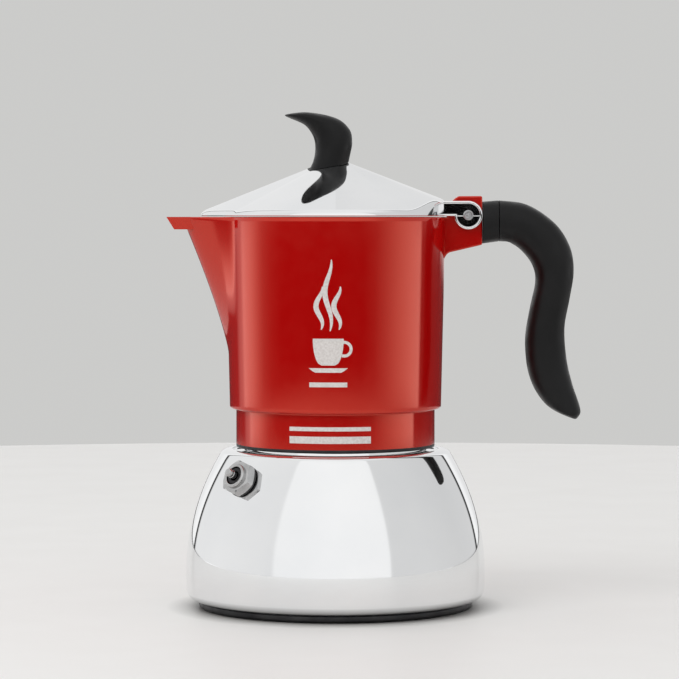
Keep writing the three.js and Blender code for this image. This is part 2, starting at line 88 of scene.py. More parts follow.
def tidy_mesh(mesh, sharp=32):
    work = bmesh.new()
    work.from_mesh(mesh)
    bmesh.ops.remove_doubles(work, verts=work.verts, dist=1e-6)
    bmesh.ops.dissolve_degenerate(work, edges=work.edges, dist=1e-7)
    bmesh.ops.recalc_face_normals(work, faces=work.faces)
    work.to_mesh(mesh)
    work.free()
    mesh.shade_smooth()
    mesh.set_sharp_from_angle(angle=math.radians(sharp))


def arc(x, y, radius, start, end, steps):
    angles = [math.radians(start + (end - start) * k / steps) for k in range(steps + 1)]
    return [(x + radius * math.cos(a), y + radius * math.sin(a)) for a in angles]


def rounded(corners, closed=False, steps=5):
    """An outline whose corners are (x, y) or (x, y, fillet radius)."""
    points = []
    for i, corner in enumerate(corners):
        here = Vector(corner[:2])
        at_end = not closed and i in (0, len(corners) - 1)
        if len(corner) < 3 or at_end:
            points.append(tuple(here))
            continue
        before = Vector(corners[i - 1][:2]) - here
        after = Vector(corners[(i + 1) % len(corners)][:2]) - here
        half = before.angle(after) / 2
        reach = min(corner[2] / math.tan(half), 0.49 * before.length, 0.49 * after.length)
        before.normalize()
        after.normalize()
        centre = here + (before + after).normalized() * reach / math.cos(half)
        start = here + before * reach - centre
        sweep = start.angle_signed(here + after * reach - centre)
        for k in range(steps + 1):
            turned = start.copy()
            turned.rotate(Matrix.Rotation(-sweep * k / steps, 2))
            points.append(tuple(centre + turned))
    return points


def lathe(name, profile, segments=ROUND, place=None, closed=False, sharp=32):
    """Turns (radius, height) points about Z; place(radius, azimuth, height) may move them."""
    azimuths = [TURN * k / segments for k in range(segments)]
    vertices, rings = [], []
    for radius, height in profile:
        start = len(vertices)
        if radius < 1e-6:
            vertices.append((0, 0, place(0, 0, height)[1] if place else height))
            rings.append([start])
            continue
        rings.append(range(start, start + segments))
        for azimuth in azimuths:
            r, z = place(radius, azimuth, height) if place else (radius, height)
            vertices.append((-r * math.cos(azimuth), r * math.sin(azimuth), z))
    pairs = list(zip(rings, rings[1:])) + ([(rings[-1], rings[0])] if closed else [])
    faces = []
    for low, high in pairs:
        for k in range(segments):
            j = (k + 1) % segments
            if len(low) == len(high) == 1:
                continue
            if len(low) == 1:
                faces.append((low[0], high[j], high[k]))
            elif len(high) == 1:
                faces.append((low[k], low[j], high[0]))
            else:
                faces.append((low[k], low[j], high[j], high[k]))
    return mesh_piece(name, vertices, faces, sharp)


def ring(name, corners, segments=96, sharp=32):
    return lathe(name, rounded(corners, closed=True), segments, closed=True, sharp=sharp)


def slab(name, outline, low, high, bevel=0.0, sharp=32):
    """An outline in the XZ plane, thickened along Y, with its two face edges bevelled."""
    count = len(outline)
    vertices = [(x, y, z) for y in (low, high) for x, z in outline]
    sides = [(k, (k + 1) % count, count + (k + 1) % count, count + k) for k in range(count)]
    faces = [tuple(range(count)), tuple(range(2 * count - 1, count - 1, -1)), *sides]
    piece = mesh_piece(name, vertices, faces, sharp)
    return bevel_ends(piece, bevel, sharp) if bevel else piece


def bevel_ends(piece, width, sharp=32):
    """Rounds the edges of the faces that look along Y."""
    work = bmesh.new()
    work.from_mesh(piece.data)
    ends = [f for f in work.faces if abs(f.normal.y) > 0.99]
    edges = [e for e in work.edges if sum(g in ends for g in e.link_faces) == 1]
    bmesh.ops.bevel(work, geom=edges, offset=width * MM, segments=4, profile=0.5, affect="EDGES")
    work.to_mesh(piece.data)
    work.free()
    tidy_mesh(piece.data, sharp)
    return piece


def spline(points, along):
    """A point of a uniform Catmull-Rom curve, with along from 0 to 1."""
    spot = (len(points) - 1) * along
    i = min(int(spot), len(points) - 2)
    t = spot - i
    before, here, there, after = (
        Vector(points[min(max(k, 0), len(points) - 1)]) for k in (i - 1, i, i + 1, i + 2)
    )
    leave, arrive = (there - before) / 2, (after - here) / 2
    return (
        (2 * here - 2 * there + leave + arrive) * t ** 3
        + (-3 * here + 3 * there - 2 * leave - arrive) * t ** 2
        + leave * t
        + here
    )


def power(value, exponent):
    return math.copysign(abs(value) ** exponent, value)


def horn(name, first, second, depth_at, sides=64, steps=90, round_from=1.0, squareness=2.3):
    """A horn between two outlines in the XZ plane, with a full section and a rounded far end."""
    straight = [round_from * k / steps for k in range(steps)]
    tip_steps = 14 if round_from < 1 else 1
    tip = [round_from + (1 - round_from) * math.sin(TURN / 4 * k / tip_steps) for k in range(tip_steps + 1)]
    vertices, rings = [], []
    for along in straight + tip:
        past = (along - round_from) / (1 - round_from) if along > round_from else 0.0
        slim = max(0.02, math.sqrt(max(0.0, 1 - past * past)))
        one, other = spline(first, along), spline(second, along)
        middle, half = (one + other) / 2, (one - other) / 2 * slim
        rings.append(range(len(vertices), len(vertices) + sides))
        for k in range(sides):
            angle = TURN * k / sides
            spot = middle + half * power(math.cos(angle), 2 / squareness)
            depth = depth_at(along) * slim * power(math.sin(angle), 2 / squareness)
            vertices.append((spot.x, depth, spot.y))
    faces = [
        (low[k], low[(k + 1) % sides], high[(k + 1) % sides], high[k])
        for low, high in zip(rings, rings[1:])
        for k in range(sides)
    ]
    faces += [tuple(rings[0]), tuple(rings[-1])]
    return mesh_piece(name, vertices, faces, sharp=50)


def combine(piece, tool, operation, sharp=32):
    """Joins, cuts or intersects a piece with another, which is used up."""
    modifier = piece.modifiers.new("combine", "BOOLEAN")
    modifier.operation, modifier.object, modifier.solver = operation, tool, "EXACT"
    graph = bpy.context.evaluated_depsgraph_get()
    mesh = bpy.data.meshes.new_from_object(piece.evaluated_get(graph))
    piece.modifiers.clear()
    piece.data = mesh
    bpy.data.objects.remove(tool)
    tidy_mesh(mesh, sharp)
    return piece


def moved(piece, matrix):
    """Moves a piece's mesh by a matrix whose shift is in millimetres."""
    shift = Matrix.Translation(matrix.to_translation() * MM)
    piece.data.transform(shift @ matrix.to_3x3().to_4x4())
    return piece


def box_piece(name, low, high):
    corners = [(x, y, z) for x in (low[0], high[0]) for y in (low[1], high[1]) for z in (low[2], high[2])]
    faces = [(0, 1, 3, 2), (4, 6, 7, 5), (0, 4, 5, 1), (2, 3, 7, 6), (0, 2, 6, 4), (1, 5, 7, 3)]
    return mesh_piece(name, corners, faces)


def cross_slot(screw, half_length, half_width, low, high):
    for turn in (0, TURN / 4):
        blade = box_piece("blade", (-half_length, -half_width, low), (half_length, half_width, high))
        combine(screw, moved(blade, Matrix.Rotation(turn, 4, "Z")), "DIFFERENCE")


def peg(name, radius, low, high, segments=48):
    return lathe(name, [(0, low), (radius, low), (radius, high), (0, high)], segments)


# ---------------------------------------------------------------- materials


class Finish:
    """A Principled material with short calls for the textures that vary it."""

    def __init__(self, name, color, roughness, metallic=0.0):
        self.material = bpy.data.materials.new(name)
        self.material.use_nodes = True
        self.nodes = self.material.node_tree.nodes
        self.links = self.material.node_tree.links
        self.shader = self.nodes["Principled BSDF"]
        self.color = color
        self.shader.inputs["Base Color"].default_value = (*color, 1)
        self.shader.inputs["Roughness"].default_value = roughness
        self.shader.inputs["Metallic"].default_value = metallic
        self.place = self.nodes.new("ShaderNodeTexCoord").outputs["Object"]

    def noise(self, scale, stretch=(1, 1, 1), detail=4.0):
        mapping = self.nodes.new("ShaderNodeMapping")
        mapping.inputs["Scale"].default_value = stretch
        texture = self.nodes.new("ShaderNodeTexNoise")
        texture.inputs["Scale"].default_value = scale
        texture.inputs["Detail"].default_value = detail
        self.links.new(self.place, mapping.inputs["Vector"])
        self.links.new(mapping.outputs["Vector"], texture.inputs["Vector"])
        return texture.outputs["Fac"]

    def ranged(self, source, low, high, start=0.35, end=0.65):
        node = self.nodes.new("ShaderNodeMapRange")
        for key, value in (("From Min", start), ("From Max", end), ("To Min", low), ("To Max", high)):
            node.inputs[key].default_value = value
        self.links.new(source, node.inputs["Value"])
        return node.outputs["Result"]

    def vary_color(self, source, other, start=0.35, end=0.65):
        mix = self.nodes.new("ShaderNodeMix")
        mix.data_type = "RGBA"
        mix.inputs["A"].default_value = (*self.color, 1)
        mix.inputs["B"].default_value = (*other, 1)
        self.links.new(self.ranged(source, 0, 1, start, end), mix.inputs["Factor"])
        self.links.new(mix.outputs["Result"], self.shader.inputs["Base Color"])
        return self

    def vary_roughness(self, source, low, high, start=0.35, end=0.65):
        self.links.new(self.ranged(source, low, high, start, end), self.shader.inputs["Roughness"])
        return self

    def bump(self, *sources):
        """Each source is (height texture, strength, distance in millimetres)."""
        below = None
        for source, strength, distance in sources:
            node = self.nodes.new("ShaderNodeBump")
            node.inputs["Strength"].default_value = strength
            node.inputs["Distance"].default_value = distance * MM
            self.links.new(source, node.inputs["Height"])
            if below:
                self.links.new(below, node.inputs["Normal"])
            below = node.outputs["Normal"]
        self.links.new(below, self.shader.inputs["Normal"])
        return self


def mirror_steel():
    steel = Finish("mirror_steel", (0.83, 0.84, 0.85), 0.03, metallic=1.0)
    steel.vary_color(steel.noise(35), (0.87, 0.875, 0.88))
    steel.vary_roughness(steel.noise(60, detail=6), 0.025, 0.075, 0.4, 0.72)
    return steel.bump(
        (steel.noise(14, detail=2), 0.05, 0.12),
        (steel.noise(900, (1, 1, 0.05)), 0.02, 0.004),
    ).material


def raw_steel():
    steel = Finish("raw_steel", (0.5, 0.5, 0.51), 0.34, metallic=1.0)
    steel.vary_color(steel.noise(140), (0.38, 0.38, 0.39))
    steel.vary_roughness(steel.noise(420, detail=6), 0.26, 0.45)
    return steel.bump((steel.noise(1500, (1, 1, 0.1)), 0.15, 0.02)).material


# Near-black steel: the induction plate's own dark tone, darkened further as painted shade for the shadow
# under the pot. It also colours the valve's crimp ring and the collector's bare edge.
def base_steel():
    steel = Finish("base_steel", (0.06, 0.06, 0.062), 0.4, metallic=1.0)
    steel.vary_color(steel.noise(90), (0.035, 0.035, 0.037))
    steel.vary_roughness(steel.noise(300, detail=6), 0.32, 0.5)
    return steel.bump((steel.noise(900), 0.2, 0.03)).material


def spun_aluminium():
    metal = Finish("spun_aluminium", (0.7, 0.71, 0.72), 0.36, metallic=1.0)
    metal.vary_color(metal.noise(120), (0.6, 0.61, 0.62))
    metal.vary_roughness(metal.noise(260, detail=6), 0.28, 0.46)
    return metal.bump((metal.noise(700, (1, 1, 6)), 0.18, 0.02)).material


def valve_nickel():
    metal = Finish("valve_nickel", (0.56, 0.56, 0.56), 0.1, metallic=1.0)
    metal.vary_color(metal.noise(220), (0.42, 0.42, 0.42))
    metal.vary_roughness(metal.noise(500, detail=5), 0.07, 0.16)
    return metal.bump((metal.noise(1600), 0.15, 0.012)).material


def red_lacquer():
    """A translucent lacquer over metal, so even its reflections are tinted."""
    red = Finish("red_lacquer", (0.44, 0.0015, 0.002), 0.09)
    red.shader.inputs["IOR"].default_value = 2.35
    red.shader.inputs["Specular Tint"].default_value = (1.0, 0.3, 0.2, 1)
    red.vary_color(red.noise(22, detail=2), (0.43, 0.0013, 0.0018))
    red.vary_roughness(red.noise(180, detail=5), 0.08, 0.105)
    return red.bump((red.noise(70, detail=1), 0.01, 0.05), (red.noise(2600), 0.03, 0.004)).material


def black_nylon():
    nylon = Finish("black_nylon", (0.0035, 0.0035, 0.0038), 0.4)
    nylon.shader.inputs["Specular IOR Level"].default_value = 0.24
    nylon.vary_color(nylon.noise(70), (0.006, 0.006, 0.0064))
    nylon.vary_roughness(nylon.noise(240, detail=6), 0.34, 0.5)
    return nylon.bump((nylon.noise(1900, detail=6), 0.35, 0.03), (nylon.noise(60), 0.05, 0.1)).material


def silicone():
    rubber = Finish("silicone", (0.78, 0.76, 0.7), 0.6)
    rubber.vary_color(rubber.noise(160), (0.72, 0.7, 0.63))
    return rubber.bump((rubber.noise(900), 0.3, 0.03)).material


# Painted shade: the valve's washer is near black so that it stands for the shadow at the foot of the
# hexagon.
def seal_painted_shade():
    rubber = Finish("seal_painted_shade", (0.02, 0.02, 0.021), 0.5)
    rubber.vary_color(rubber.noise(200), (0.03, 0.03, 0.031))
    return rubber.bump((rubber.noise(900), 0.3, 0.02)).material


def white_print():
    ink = Finish("white_print", (0.72, 0.69, 0.67), 0.4)
    ink.vary_color(ink.noise(1400, detail=6), (0.6, 0.56, 0.54))
    return ink.bump((ink.noise(2400), 0.2, 0.005)).material


def pale_floor():
    """Pale, with a painted contact shadow: a little darker where the pot keeps the light off it."""
    floor = Finish("pale_floor", (0.36, 0.35, 0.34), 0.45)
    middle = floor.nodes.new("ShaderNodeVectorMath")
    middle.operation = "LENGTH"
    floor.links.new(floor.place, middle.inputs[0])
    floor.vary_color(middle.outputs["Value"], (0.8, 0.79, 0.775), 0.046, 0.059)
    floor.vary_roughness(floor.noise(30), 0.4, 0.5)
    return floor.bump((floor.noise(300), 0.05, 0.02)).material


MIRROR, RAW, BASE = mirror_steel(), raw_steel(), base_steel()
ALUMINIUM, NICKEL, RED = spun_aluminium(), valve_nickel(), red_lacquer()
NYLON, SILICONE, SEAL_SHADE, PRINT = black_nylon(), silicone(), seal_painted_shade(), white_print()


def give(piece, body, material, *nodes):
    """Finishes a piece: its material, the body it rides on and the CAD nodes it stands for."""
    piece.data.materials.clear()
    piece.data.materials.append(material)
    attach(piece, body)
    if nodes:
        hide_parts(*nodes)
    return piece


# ---------------------------------------------------------------- boiler


def bell_radius(height):
    return BELL_RADIUS - BELL_TAPER * (height - BELL_WIDEST) ** 2


def steps_between(low, high, count):
    return [low + (high - low) * k / count for k in range(count + 1)]


def thread_rows():
    return steps_between(THREAD_LOW, THREAD_HIGH, 40)


def thread_shift(azimuth, height, depth):
    """A right-hand thread that fades in and out over its first and last half turn."""
    fade = min(1.0, (height - THREAD_LOW) / 1.5, (THREAD_HIGH - height) / 1.5)
    wave = math.sin(TURN * height / THREAD_PITCH + azimuth)
    return depth * max(0.0, fade) * max(-1.0, min(1.0, 1.6 * wave))


def boiler():
    edge_radius, edge_height = 3.8, BELL_BOTTOM + 3.8
    shoulder_start = 53.6
    outer = [
        (0, BELL_BOTTOM),
        (bell_radius(edge_height) - edge_radius - 4, BELL_BOTTOM),
        *arc(bell_radius(edge_height) - edge_radius, edge_height, edge_radius, -90, 0, 10),
        *[(bell_radius(z), z) for z in steps_between(edge_height + 1, shoulder_start, 30)],
    ]
    slope = 2 * BELL_TAPER * (shoulder_start - BELL_WIDEST)
    start = Vector((bell_radius(shoulder_start), shoulder_start))
    middle = Vector((start.x - slope * (BELL_TOP - shoulder_start), BELL_TOP))
    end = Vector((SHOULDER_END, BELL_TOP))
    shoulder = [
        tuple((1 - t) ** 2 * start + 2 * t * (1 - t) * middle + t * t * end)
        for t in steps_between(0, 1, 14)[1:]
    ]
    shoulder += rounded([
        (SHOULDER_END, BELL_TOP), (SHOULDER_END - 0.3, BELL_TOP, 0.1), (SHOULDER_END - 0.3, 54.3, 0.2),
        (NECK_OUTER, 54.3, 0.3), (NECK_OUTER, THREAD_LOW),
    ])[1:]
    inside = rounded([
        (NECK_OUTER, THREAD_HIGH),
        (NECK_OUTER, NECK_TOP, 0.5),
        (NECK_INNER, NECK_TOP, 0.5),
        (NECK_INNER, BELL_TOP - 2, 1.2),
        (36.6, BELL_TOP - 2, 2),
        (bell_radius(shoulder_start) - 1.4, shoulder_start - 1),
    ])[1:]
    below = [(bell_radius(z) - 1.3, z) for z in reversed(steps_between(8, shoulder_start - 2, 24))]
    floor = [(46.5, BELL_BOTTOM + 1.6), (44.5, BELL_BOTTOM + BELL_WALL), (0, BELL_BOTTOM + BELL_WALL)]
    threads = [(NECK_OUTER, z) for z in thread_rows()[1:-1]]

    def place(radius, azimuth, height):
        threaded = abs(radius - NECK_OUTER) < 1e-6 and THREAD_LOW < height < THREAD_HIGH
        return radius + (thread_shift(azimuth, height, MALE_DEPTH) if threaded else 0), height

    shell = lathe("boiler_bell", outer + shoulder + threads + inside + below + floor, place=place)
    combine(shell, moved(peg("hole", 4.5, -8, 8), valve_matrix()), "DIFFERENCE")
    give(shell, "boiler", MIRROR, "boiler_shell")

    plate = lathe("base_plate", rounded([
        (0, 0), (47.5, 0, 1.0), (47.5, 2.4, 0.3), (46.7, 2.4, 0.2), (46.7, 0.8), (0, 0.8),
    ]))
    give(plate, "boiler", BASE, "induction_plate")
    spreader = lathe("spreader_disc", rounded([(0, 1.1), (46.4, 1.1, 0.2), (46.4, 2.4, 0.2), (0, 2.4)]))
    give(spreader, "boiler", ALUMINIUM, "heat_spreader")


# ---------------------------------------------------------------- safety valve


def valve_matrix():
    """From the valve's own frame, Z out of the wall, to the pot's frame in millimetres."""
    radius = bell_radius(VALVE_HEIGHT)
    slope = 2 * BELL_TAPER * (VALVE_HEIGHT - BELL_WIDEST)
    outward = Vector((math.cos(VALVE_AZIMUTH), math.sin(VALVE_AZIMUTH), slope)).normalized()
    spot = Vector((radius * math.cos(VALVE_AZIMUTH), radius * math.sin(VALVE_AZIMUTH), VALVE_HEIGHT))
    turn = Vector((0, 0, 1)).rotation_difference(outward)
    return Matrix.Translation(spot) @ turn.to_matrix().to_4x4()


def hex_nut(name, flat, low, high, bore):
    """A hexagon whose corners are chamfered by a cone at both ends."""
    corner = flat / math.sqrt(3)
    prism = lathe(name, [(0, low), (corner, low), (corner, high), (0, high)], 6)
    inset, drop = corner - flat / 2 * 0.97, 0.55
    barrel = lathe("barrel", [
        (0, low), (corner - inset, low), (corner + 0.1, low + drop),
        (corner + 0.1, high - drop), (corner - inset, high), (0, high),
    ], 96)
    combine(prism, barrel, "INTERSECT", 20)
    return combine(prism, peg("bore", bore, low - 1, high + 1), "DIFFERENCE", 20)


def valve():
    matrix = valve_matrix()
    washer = ring("valve_seal", [(4.5, 0.15, 0.1), (5.7, 0.15, 0.1), (5.7, 0.7, 0.2), (4.5, 0.7, 0.1)])
    # The washer's near-black colour is painted shade.
    give(moved(washer, matrix), "boiler", SEAL_SHADE, "valve_washer")
    hexagon = hex_nut("valve_hexagon", 11, 0.75, 4.2, 4.0)
    give(moved(hexagon, matrix), "boiler", NICKEL, "valve_body")
    barrel = ring("valve_barrel", [
        (3.2, 5.2, 0.25), (4.25, 5.2, 0.5), (4.25, 0.75), (4.2, 0.75), (4.2, -6.4, 0.3), (1.8, -6.4, 0.2),
        (1.8, -5.6, 0.2), (3.2, -5.6, 0.2),
    ])
    give(moved(barrel, matrix), "boiler", NICKEL)
    give(moved(hex_nut("valve_lock_nut", 11, -4.6, -2.1, 4.5), matrix), "boiler", NICKEL, "valve_nut")
    cap = ring("valve_crimp_ring", [(1.7, 4.8, 0.3), (2.9, 4.8, 0.2), (2.9, 3.8, 0.1), (1.7, 3.8, 0.1)])
    give(moved(cap, matrix), "boiler", BASE, "valve_cap")
    stem = lathe("valve_pin", rounded([
        (0, -5.3), (2.6, -5.3, 0.2), (2.6, -4.5, 0.2), (1.4, -4.5, 0.2), (1.4, 6.2), (1.25, 6.4, 0.1),
        (1.25, 6.7, 0.1), (1.4, 6.9, 0.1), (1.4, 8.4, 1.2), (0, 8.4),
    ]), 64)
    give(moved(stem, matrix), "valve_stem", NICKEL, "valve_stem")
    spring = moved(coil("valve_coil", 2.15, 0.33, SPRING_LOW, SPRING_HIGH, 5), matrix)
    give(spring, "valve_stem", RAW, "valve_spring")
    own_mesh(spring)


def coil(name, radius, wire, low, high, turns):
    sides, steps = 12, turns * 28
    vertices, rings = [], []
    for k in range(steps + 1):
        angle = TURN * turns * k / steps
        height = low + wire + (high - low - 2 * wire) * k / steps
        rings.append(range(len(vertices), len(vertices) + sides))
        for s in range(sides):
            out, up = wire * math.cos(TURN * s / sides), wire * math.sin(TURN * s / sides)
            wide = radius + out
            vertices.append((wide * math.cos(angle), wide * math.sin(angle), height + up))
    faces = [
        (one[s], one[(s + 1) % sides], two[(s + 1) % sides], two[s])
        for one, two in zip(rings, rings[1:])
        for s in range(sides)
    ]
    return mesh_piece(name, vertices, faces + [tuple(rings[0]), tuple(rings[-1])])


# ---------------------------------------------------------------- funnel, filter and seal


def perforated(name, radius, low, high, hole, spacing):
    """A thin disc with round holes on a triangular grid, kept clear of its edge."""
    hole_sides, rim_sides = 12, 120
    centres = []
    reach = int(radius / spacing) + 2
    for row in range(-reach, reach + 1):
        for column in range(-reach, reach + 1):
            spot = Vector(((column + (row % 2) / 2) * spacing, row * spacing * math.sqrt(3) / 2))
            if spot.length < radius - 2:
                centres.append(spot)
    loops = [arc(0, 0, radius, 0, 360, rim_sides)[:-1]]
    loops += [arc(c.x, c.y, hole, 0, 360, hole_sides)[:-1] for c in centres]
    points, edges = [], []
    for loop in loops:
        start = len(points)
        points += [Vector(p) for p in loop]
        edges += [(start + k, start + (k + 1) % len(loop)) for k in range(len(loop))]
    flat, _, triangles, *_ = delaunay_2d_cdt(points, edges, [], 0, 1e-5)
    grid = {}
    for c in centres:
        grid.setdefault((round(c.x / spacing), round(c.y / spacing)), []).append(c)

    def in_hole(spot):
        cell = (round(spot.x / spacing), round(spot.y / spacing))
        near = [(cell[0] + i, cell[1] + j) for i in (-1, 0, 1) for j in (-1, 0, 1)]
        return any((spot - c).length < hole * 0.98 for key in near for c in grid.get(key, []))

    solid = [t for t in triangles if not in_hole(sum((flat[i] for i in t), Vector((0, 0))) / 3)]
    count = len(flat)
    vertices = [(p.x, p.y, low) for p in flat] + [(p.x, p.y, high) for p in flat]
    faces = [tuple(t) for t in solid] + [tuple(count + i for i in reversed(t)) for t in solid]
    faces += [(a, b, count + b, count + a) for a, b in edges]
    return mesh_piece(name, vertices, faces)


def funnel():
    body = lathe("coffee_funnel", rounded([
        (4.5, 9), (4.5, 36, 4), (24.5, 44, 3), (26.5, 45.4, 1.5), (26.5, 66.7, 0.5), (30.6, 66.7, 0.2),
        (30.6, 67.4, 0.2), (25.7, 67.4, 0.6), (25.7, 45.4, 0.6), (23.6, 44.7, 1), (3.7, 36.6, 3), (3.7, 9),
    ], closed=True), closed=True)
    give(body, "funnel", ALUMINIUM, "funnel")
    floor = perforated("basket_floor", 25.4, 46, 46.8, 0.5, 2.3)
    give(floor, "funnel", ALUMINIUM, "basket_plate")
    disc = perforated("filter_disc", 25.4, 68.3, 69.1, 0.45, 2.0)
    give(disc, "filter_plate", ALUMINIUM, "filter_plate")
    seal = ring("seal_ring", [
        (26.2, 67.7, 0.4), (32.3, 67.7, 0.5), (32.3, 70.2, 0.5), (26.2, 70.2, 0.4),
    ], ROUND)
    give(seal, "gasket", SILICONE, "gasket")


# ---------------------------------------------------------------- collector


def jug_radius(height):
    share = (height - JUG_LOW) / (JUG_RIM - JUG_LOW)
    return JUG_LOW_RADIUS + (JUG_RIM_RADIUS - JUG_LOW_RADIUS) * share


def ridge_radius(height):
    return jug_radius(height) + SPOUT_GROWTH * max(0.0, height - SPOUT_START) ** SPOUT_POWER


def beak_factor(circle, ridge, azimuth):
    """How much further out than a circle the flat sides of a V stand, at an azimuth from its ridge."""
    if ridge <= circle + 1e-6:
        return 1.0
    side = min(math.acos(circle / ridge), SPOUT_ROOT)
    off_ridge = math.hypot(math.remainder(azimuth, TURN), RIDGE_SOFTNESS) - RIDGE_SOFTNESS
    turn = min(side, off_ridge)
    in_front = circle * math.sin(side) * math.cos(turn)
    aside = (ridge - circle * math.cos(side)) * math.sin(turn)
    return ridge * math.sin(side) / (in_front + aside)


def jug():
    heights = steps_between(JUG_LOW + 1.6, JUG_RIM - 0.4, 60)
    skirt = [
        (SKIRT_INNER, SKIRT_LOW + 0.3), (SKIRT_INNER + 0.3, SKIRT_LOW), (SKIRT_OUTER - 0.35, SKIRT_LOW),
        (SKIRT_OUTER, SKIRT_LOW + 0.35), (SKIRT_OUTER, BARE_SHADED_EDGE), (SKIRT_OUTER, SKIRT_HIGH - 0.2),
    ]
    shoulder = rounded([
        (SKIRT_OUTER, SKIRT_HIGH - 0.2),
        (SKIRT_OUTER, SKIRT_HIGH + 0.3, 0.3),
        (jug_radius(JUG_LOW), SKIRT_HIGH + 0.5, 1.5),
        (jug_radius(JUG_LOW + 1.6), JUG_LOW + 1.6),
    ], steps=8)[1:-1]
    outside = [(jug_radius(z), z) for z in heights]
    rim_inside = JUG_RIM_RADIUS - JUG_WALL
    rim = [
        (JUG_RIM_RADIUS - 0.12, JUG_RIM - 0.12), (JUG_RIM_RADIUS - 0.4, JUG_RIM),
        (rim_inside + 0.4, JUG_RIM), (rim_inside + 0.1, JUG_RIM - 0.12),
    ]
    inside = [(jug_radius(z) - JUG_WALL, z) for z in reversed(heights) if z > 76]
    floor = rounded([
        inside[-1], (jug_radius(FLOOR_HIGH) - JUG_WALL, FLOOR_HIGH, 2.2), (5.5, FLOOR_HIGH + 1.5, 0.3),
        (5.5, FLOOR_LOW + 1.2, 0.3), (25.2, FLOOR_LOW, 0.4), (32.7, FLOOR_LOW, 0.3), (32.7, 65.6, 0.2),
        (SKIRT_INNER, THREAD_HIGH + 0.1),
    ])[1:]
    threads = [(SKIRT_INNER, z) for z in reversed(thread_rows()[1:-1])]

    def place(radius, azimuth, height):
        threaded = abs(radius - SKIRT_INNER) < 1e-6 and THREAD_LOW < height < THREAD_HIGH
        shift = thread_shift(azimuth, height, FEMALE_DEPTH) if threaded else 0
        wide = beak_factor(jug_radius(height), ridge_radius(height), azimuth)
        return (radius + shift) * wide, height

    profile = skirt + shoulder + outside + rim + inside + floor + threads
    body = lathe("jug", profile, place=place, closed=True)
    combine(body, gutter("lip_outside", 4.3, 3.0, LIP_LOW, LIP_TIP, JUG_RIM), "UNION")
    combine(body, gutter("lip_inside", 2.9, 1.6, LIP_LOW + 1.4, LIP_TIP + 4, JUG_RIM + 1), "DIFFERENCE")
    combine(body, lug(), "UNION")
    combine(body, across_hinge(peg("pin_hole", 1.4, -9, 9)), "DIFFERENCE")
    give(body, "collector", RED, "collector")
    body.data.materials.append(ALUMINIUM)
    body.data.materials.append(BASE)
    for face in body.data.polygons:
        spot = face.center / MM
        # The skirt's unpainted bottom edge takes the near-black base steel: painted shade for the shadow
        # just above the boiler's shoulder.
        if spot.z < BARE_SHADED_EDGE:
            face.material_index = 2
            continue
        if spot.x > JUG_RIM_RADIUS and abs(face.normal.y) > 0.999:
            face.use_smooth = False  # the lug's flat sides
        wide = beak_factor(jug_radius(spot.z), ridge_radius(spot.z), math.atan2(spot.y, -spot.x))
        radius = math.hypot(spot.x, spot.y) / wide
        inward = face.normal.x * spot.x + face.normal.y * spot.y < 0
        inner_wall = spot.z > SKIRT_HIGH + 2 and radius < jug_radius(spot.z) - 0.6 * JUG_WALL
        inner_skirt = spot.z <= SKIRT_HIGH + 2 and radius < SKIRT_INNER + 0.6
        if inner_skirt or (inner_wall and (inward or radius < jug_radius(spot.z) - 1.5 * JUG_WALL)):
            face.material_index = 1


def gutter(name, half_width, tip_half_width, underside, tip, top):
    """A tapering gutter along the spout's ridge, solid from its underside to the given top."""
    slant = 2.7
    outline = [(-LIP_ROOT, underside), (-LIP_ROOT, top), (-tip, top), (-tip + slant, underside)]
    piece = slab(name, outline, -1, 1)
    for vertex in piece.data.vertices:
        along = (-vertex.co.x / MM - LIP_ROOT) / (LIP_TIP - LIP_ROOT)
        vertex.co.y *= half_width + (tip_half_width - half_width) * along
    return piece


def lug():
    end, top, underside, sweep = 50.6, 142.4, 125.6, 7.3
    root = JUG_RIM_RADIUS - 1
    outline = [
        *rounded([(root, underside - 5.4), (root + 1.6, underside - 2.8, 2.5), (end, underside, 0.6),
                  (end, top, 0.6), (HINGE_X - 3.0, top, 1.2)], steps=8)[:-1],
        *arc(HINGE_X, HINGE_Z, sweep, 116, 180, 14),
        (HINGE_X - sweep, JUG_RIM),
        (root, JUG_RIM),
    ]
    return drafted(slab("lug", outline, -6, 6, bevel=0.5), top)


def drafted(piece, top):
    """Narrows a casting towards its underside, so that its sides look a little downwards."""
    for vertex in piece.data.vertices:
        vertex.co.y -= math.copysign(DRAFT * (top * MM - vertex.co.z), vertex.co.y)
    return piece


def across_hinge(piece):
    return moved(piece, Matrix.Translation((HINGE_X, 0, HINGE_Z)) @ Matrix.Rotation(TURN / 4, 4, "X"))


def column():
    outside = rounded([(3.4, 71), (5.2, 71, 0.2), (5.2, 117.2, 1.2), (0, 118)])
    body = lathe("riser_column", outside + [(0, 117), (3.4, 116.4)], 96, closed=True)
    outline = [(-1.5, 107, 1.4), (1.5, 107, 1.4), (1.5, 114.6, 1.4), (-1.5, 114.6, 1.4)]
    slot = slab("slot", rounded(outline, closed=True), -12, 12)
    moved(slot, Matrix.Rotation(TURN / 4, 4, "Z"))
    combine(body, slot, "DIFFERENCE")
    give(body, "collector", ALUMINIUM, "column")


def hinge_pin():
    half = rounded([
        (1.1, 8.2), (1.7, 8.2, 0.1), (1.7, 9.0, 0.3), (1.3, 9.2, 0.1), (1.1, 8.5, 0.1), (0.6, 8.5, 0.1),
        (0, 8.9),
    ])
    tail = [(radius, -height) for radius, height in reversed(half)]
    give(across_hinge(lathe("lid_pin", tail + half, 64)), "collector", RAW, "hinge_pin")


# ---------------------------------------------------------------- lid and knob


def smooth_step(value, low, high):
    share = min(1.0, max(0.0, (value - low) / (high - low)))
    return share * share * (3 - 2 * share)


